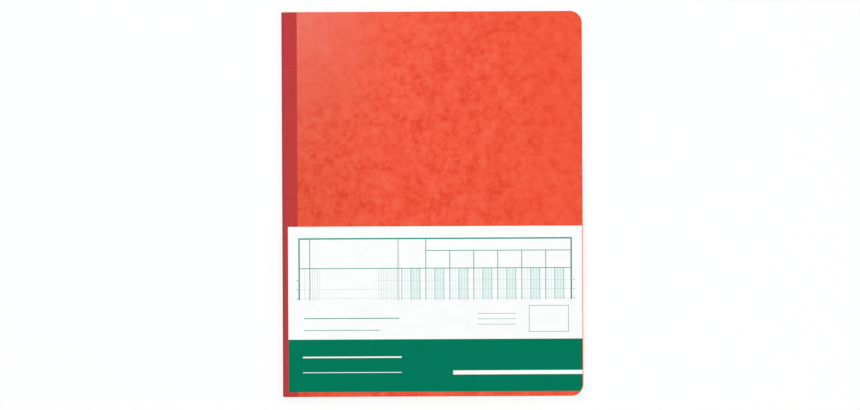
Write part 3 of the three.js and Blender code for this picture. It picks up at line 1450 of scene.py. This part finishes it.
@dataclass
class Studio:
    """Floor, light and camera. The camera looks straight down on the front cover.

    Attributes:
        glow: Share of the white backdrop that the floor shows by the book and far from it.
        glow_reach: How far out it starts to rise, and where it is all white.
        lamps: One whose gloss falls on the cover's upper left, a key and a fill.
    """

    picture_width: float = 860
    pixels_per_mm: float = 1.203
    lens: float = 85
    sensor: float = 36
    view_end: float = 100
    cover_height: float = 8.1 * MM
    off_centre: Pair = (-1.85 * MM, -0.83 * MM)
    roll: float = -0.27
    world_light: float = 0.560
    floor_size: float = 14
    floor_colour: Colour = (0.93, 0.93, 0.93)
    glow: Pair = (0.8, 1.0)
    glow_reach: Pair = (0.5, 2.2)
    lamps: tuple[Lamp, ...] = (
        Lamp("gloss_lamp", (-0.184, 0.236, 0.8), 0.13, 0.57, (0.6, 1.0, 1.0)),
        Lamp("key_lamp", (-0.8, 1.2, 1.7), 0.8, 16.9),
        Lamp("front_fill_lamp", (1.1, -1.1, 1.5), 1.2, 13.7),
    )

    def show(self, wiring: Wiring, lit: bpy.types.Node, shown: bpy.types.Node, share: Feed = 1.0) -> None:
        """Tells the rays that show the background, straight or by gloss or glass, from those that light.

        Args:
            wiring: The material or world.
            lit: The shader for the rays that light.
            shown: The shader for the rays that show the background.
            share: How much of that shader is shown.
        """
        path = wiring.node("LightPath", {}).outputs
        seen = path["Is Camera Ray"]
        for kind in ("Is Glossy Ray", "Is Transmission Ray"):
            seen = wiring.node("Math", {0: seen, 1: path[kind]}, use_clamp=True).outputs[0]
        seen = wiring.node("Math", {0: seen, 1: share}, operation="MULTIPLY").outputs[0]
        surface = wiring.node("MixShader", {0: seen, 1: lit.outputs[0], 2: shown.outputs[0]})
        wiring.tree.links.new(surface.outputs[0], wiring.first("OUTPUT").inputs["Surface"])

    def build_floor(self) -> None:
        """Lays a white floor that keeps the book's shadow."""
        size = (self.floor_size, self.floor_size, 1)
        floor = start_piece(bpy.ops.mesh.primitive_plane_add, "studio_floor", size, location=(0, 0, 0))
        recipe = Recipe("studio_floor", 1, 0)
        recipe.shader.inputs["Base Color"].default_value = (*self.floor_colour, 1)
        distance = recipe.node("VectorMath", {0: recipe.place}, operation="LENGTH").outputs["Value"]
        glow = recipe.graded(distance, self.glow_reach, self.glow)
        self.show(recipe, recipe.shader, recipe.node("Emission", {"Strength": 1.0}), glow)
        dress(floor, recipe.material)

    def build_world(self) -> None:
        """Fills the room with even light, and shows it white."""
        world = bpy.data.worlds.new("studio")
        bpy.context.scene.world = world
        world.use_nodes = True
        wiring = Wiring(world.node_tree)
        light = wiring.first("BACKGROUND")
        light.inputs["Color"].default_value = WHITE
        light.inputs["Strength"].default_value = self.world_light
        self.show(wiring, light, wiring.node("Background", {"Color": WHITE, "Strength": 1.0}))

    def build_camera(self) -> None:
        """Puts the camera over the cover, at the photograph's angle and scale."""
        data = bpy.data.cameras.new("main_camera")
        data.lens = self.lens
        data.sensor_width = self.sensor
        data.clip_end = self.view_end
        field_width = self.picture_width / self.pixels_per_mm * MM
        distance = field_width * self.lens / self.sensor
        camera = bpy.data.objects.new("main_camera", data)
        camera.location = (*self.off_centre, self.cover_height + distance)
        camera.rotation_euler = (0, 0, math.radians(self.roll))
        bpy.context.collection.objects.link(camera)
        bpy.context.scene.camera = camera

    def build(self) -> None:
        """Builds the whole studio."""
        self.build_floor()
        self.build_world()
        for lamp in self.lamps:
            lamp.hang()
        self.build_camera()
        bpy.context.scene.view_settings.view_transform = "Standard"


def main() -> None:
    """Builds and dresses the book, then the studio round it."""
    logging.basicConfig(level=logging.INFO, format="%(name)s: %(message)s")
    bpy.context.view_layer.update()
    sizes = BookSizes.from_frame()
    log.info("%d sheets, leaf pitch %.3f mm", sizes.sheets, sizes.leaf_pitch / MM)

    face, edge, cloth = GlazedPressboard(sizes).make(), CutPressboard().make(), SpineCloth().make()
    for side in Side:
        cover = Cover(sizes, side, face, edge, cloth)
        log.info("%s and %s built", cover.build_board().name, cover.build_wing().name)

    paper = LeafPaper(sizes)
    spine = Spine(sizes, paper.plain(), cloth, LinenThread().make())
    log.info("%d sheet folds built", len(spine.build_folds()))
    log.info("%s built", spine.build_tape().name)
    log.info("%s built", spine.build_thread().name)
    log.info("%d leaves dressed", Leaves(paper).dress_nodes())

    label = Label(sizes, LabelPrint()).build()
    log.info("%s built with %d faces", label.name, len(label.data.polygons))

    Studio().build()
    log.info("sizes written")


if __name__ == "__main__":
    main()
